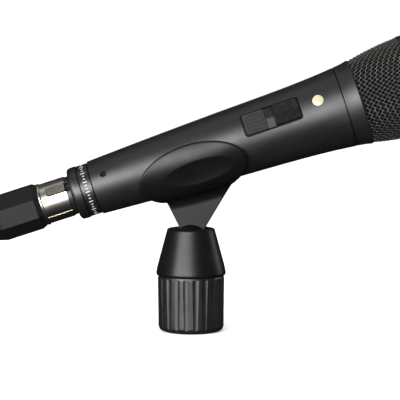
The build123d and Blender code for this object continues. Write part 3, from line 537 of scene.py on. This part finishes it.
def foam_shell():
    """Closed shell between an outer and an inner skin, with small cells on the outside."""
    profile = foam_skin(foam_gap) + foam_skin(foam_gap + foam_wall)[::-1]
    vertices, faces = [], []
    for row, (distance, radius) in enumerate(profile):
        for column in range(foam_around):
            turn = 2 * pi * column / foam_around
            cell = (sin(row * cell_rows[0] + column * cell_columns[0])
                    * cos(row * cell_rows[1] + column * cell_columns[1]))
            lump = cell * cell_height if 0 < radius else 0.0
            vertices.append(on_axis(distance, max(radius + lump, 0.0), turn))
    for row in range(len(profile)):
        after = (row + 1) % len(profile)
        for column in range(foam_around):
            following = (column + 1) % foam_around
            faces.append((row * foam_around + column, row * foam_around + following,
                          after * foam_around + following, after * foam_around + column))
    return vertices, faces


foam_vertices, foam_faces = foam_shell()
foam_lining = new_piece("foam_lining", foam_vertices, foam_faces, foam)
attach(foam_lining, "head")
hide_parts("windscreen")

# %% [markdown]
# ## Marks on the tail ring
# The tail ring carries a fine printed scale. Ink has a thickness, so each tick is a thin
# curved tile that stands a few hundredths of a millimetre off the ring. Plain ticks, every
# third one longer, stand for whatever a maker would print there.

# %% Printed ticks
ring_start, ring_end, ring_radius = reach("marking_ring")
tick_count = 48
long_every = 3
tick_width = 0.45 * MM
ink = 0.04 * MM
short_tick, long_tick = 1.0 * MM, 2.0 * MM
ring_middle = (ring_start + ring_end) / 2
tick_vertices, tick_faces = [], []
for tick in range(tick_count):
    half_length = (long_tick if tick % long_every == 0 else short_tick) / 2
    middle_turn = 2 * pi * tick / tick_count
    half_turn = tick_width / 2 / ring_radius
    base = len(tick_vertices)
    for radius in (ring_radius - ink, ring_radius + ink):
        for along, side in ((-1, -1), (1, -1), (1, 1), (-1, 1)):
            tick_vertices.append(on_axis(
                ring_middle + along * half_length, radius, middle_turn + side * half_turn))
    for corner in range(4):
        following = (corner + 1) % 4
        tick_faces.append((base + corner, base + following, base + 4 + following,
                           base + 4 + corner))
    tick_faces.append((base + 4, base + 5, base + 6, base + 7))
    tick_faces.append((base + 3, base + 2, base + 1, base))
ring_ticks = new_piece("ring_ticks", tick_vertices, tick_faces, tick_print, smooth=False)
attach(ring_ticks, "microphone")
print("ticks:", tick_count)

# %% [markdown]
# ## The cream dot
# The dot is a cast acrylic lens, pressed into the handle: a low dome on a short plain side. A
# short outline is spun about the line that points out of the switch side.

# %% Domed dot
dome_rise = 0.75 * MM
dome_rings = 10
spin = 48
dot_points = [vertex.co for vertex in nodes["indicator_dot"].data.vertices]
heights = [(point - tail_centre).dot(switch_out) for point in dot_points]
dot_centre = middle("indicator_dot")
dot_centre -= switch_out * ((dot_centre - tail_centre).dot(switch_out) - min(heights))
dot_side = max(heights) - min(heights) - dome_rise
dot_radius = max(
    (offset - offset.dot(switch_out) * switch_out).length
    for offset in (point - dot_centre for point in dot_points))
outline = [(0.0, 0.0), (dot_radius, 0.0), (dot_radius, dot_side)]
for ring in range(1, dome_rings + 1):
    rise = ring * pi / 2 / dome_rings
    outline.append((dot_radius * cos(rise), dot_side + dome_rise * sin(rise)))
across_dot = head_dir.cross(switch_out)
dot_vertices = [
    dot_centre + switch_out * height
    + (head_dir * cos(2 * pi * turn / spin) + across_dot * sin(2 * pi * turn / spin)) * radius
    for radius, height in outline for turn in range(spin)]
dot_faces = [
    (row * spin + turn, row * spin + (turn + 1) % spin,
     (row + 1) * spin + (turn + 1) % spin, (row + 1) * spin + turn)
    for row in range(len(outline) - 1) for turn in range(spin)]
dot_dome = new_piece("dot_dome", dot_vertices, dot_faces, cream_acrylic)
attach(dot_dome, "microphone")
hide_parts("indicator_dot")
print("dot across in mm:", round(2 * dot_radius / MM, 2))

# %% [markdown]
# ## Floor
# The object stands on plain white paper, a hair below its lowest face.

# %% Floor
floor_size = 6.0
floor_drop = 0.2 * MM
bpy.ops.mesh.primitive_plane_add(size=floor_size, location=(0, 0, -floor_drop))
floor = bpy.context.object
floor.name = "floor"
floor_paint = new_material("studio_paper_white", "#fdfdfd", 0.9)
grain(floor_paint, 3, 0.05)
floor.data.materials.append(floor_paint)

# %% [markdown]
# ## Light
# A wide softbox stands to the left of the camera, a little above it. On the handle it draws one
# broad soft highlight along the side that faces out, and on the upright stand parts a highlight
# left of their middle. A dim box overhead edges the upper rims, and a narrow strip on the right
# edges the head. The undersides stay deep because shiny surfaces see dim surroundings and a
# paper painted near-black in their reflections, which is painted shade; the paper and the
# surroundings still light the matt surfaces.

# %% Softboxes
def softbox(name, place, target, size, power):
    light = bpy.data.lights.new(name, "AREA")
    light.shape = "RECTANGLE"
    light.size, light.size_y = size
    light.energy = power
    lamp = bpy.data.objects.new(name, light)
    bpy.context.scene.collection.objects.link(lamp)
    lamp.location = place
    lamp.rotation_euler = (Vector(target) - Vector(place)).to_track_quat("-Z", "Y").to_euler()
    print(name, power, "W")


subject = Vector((0.03, 0, 0.08))
softbox("front_softbox", (-0.6, -1.2, 0.3), subject, (1.5, 0.8), 62)
softbox("top_softbox", (-0.1, 0.15, 1.0), subject, (1.2, 0.5), 1.6)
softbox("right_strip", (0.9, 0.35, 0.4), subject, (0.12, 0.8), 2)


# %% Dim surroundings and painted shade in the floor's reflections
def glossy_rays_see_dim(tree, bright, dim, target):
    """Show the bright shader to the camera and to matt surfaces, and the dim one to shiny ones."""
    ray_kind = tree.nodes.new("ShaderNodeLightPath")
    chooser = tree.nodes.new("ShaderNodeMixShader")
    tree.links.new(ray_kind.outputs["Is Glossy Ray"], chooser.inputs["Fac"])
    tree.links.new(bright.outputs[0], chooser.inputs[1])
    tree.links.new(dim.outputs[0], chooser.inputs[2])
    tree.links.new(chooser.outputs["Shader"], target.inputs["Surface"])


bright_surroundings, dim_surroundings = 1.15, 0.05
world = bpy.data.worlds.new("studio")
bpy.context.scene.world = world
world.use_nodes = True
surroundings = world.node_tree.nodes["Background"]
surroundings.inputs["Color"].default_value = linear("#ffffff")
surroundings.inputs["Strength"].default_value = bright_surroundings
flag = world.node_tree.nodes.new("ShaderNodeBackground")
flag.inputs["Color"].default_value = linear("#ffffff")
flag.inputs["Strength"].default_value = dim_surroundings
glossy_rays_see_dim(world.node_tree, surroundings, flag, world.node_tree.nodes["World Output"])

# Painted shade: the paper shows near-black to shiny surfaces, so their undersides mirror a dark
# floor, though the paper is white.
paper_tree = floor_paint.node_tree
floor_painted_dark_reflection = paper_tree.nodes.new("ShaderNodeBsdfDiffuse")
floor_painted_dark_reflection.inputs["Color"].default_value = linear("#0c0c0c")
glossy_rays_see_dim(paper_tree, paper_tree.nodes["Principled BSDF"], floor_painted_dark_reflection,
        paper_tree.nodes["Material Output"])
bpy.context.scene.view_settings.view_transform = "Standard"
print("surroundings:", world.name)

# %% [markdown]
# ## Camera
# A long lens from about a metre away flattens the perspective, and a few degrees of height
# show the tops of the rings.

# %% Camera
view_distance = 1.0
view_lift = radians(5.5)
lens_mm = 193.0
aim = Vector((0.0042, 0, 0.0612))
camera_data = bpy.data.cameras.new("camera")
camera_data.lens = lens_mm
camera_data.clip_start = 0.01
camera = bpy.data.objects.new("camera", camera_data)
bpy.context.scene.collection.objects.link(camera)
camera.location = aim + view_distance * Vector((0, -cos(view_lift), sin(view_lift)))
camera.rotation_euler = (aim - camera.location).to_track_quat("-Z", "Y").to_euler()
bpy.context.scene.camera = camera
print("lens in mm:", camera_data.lens)
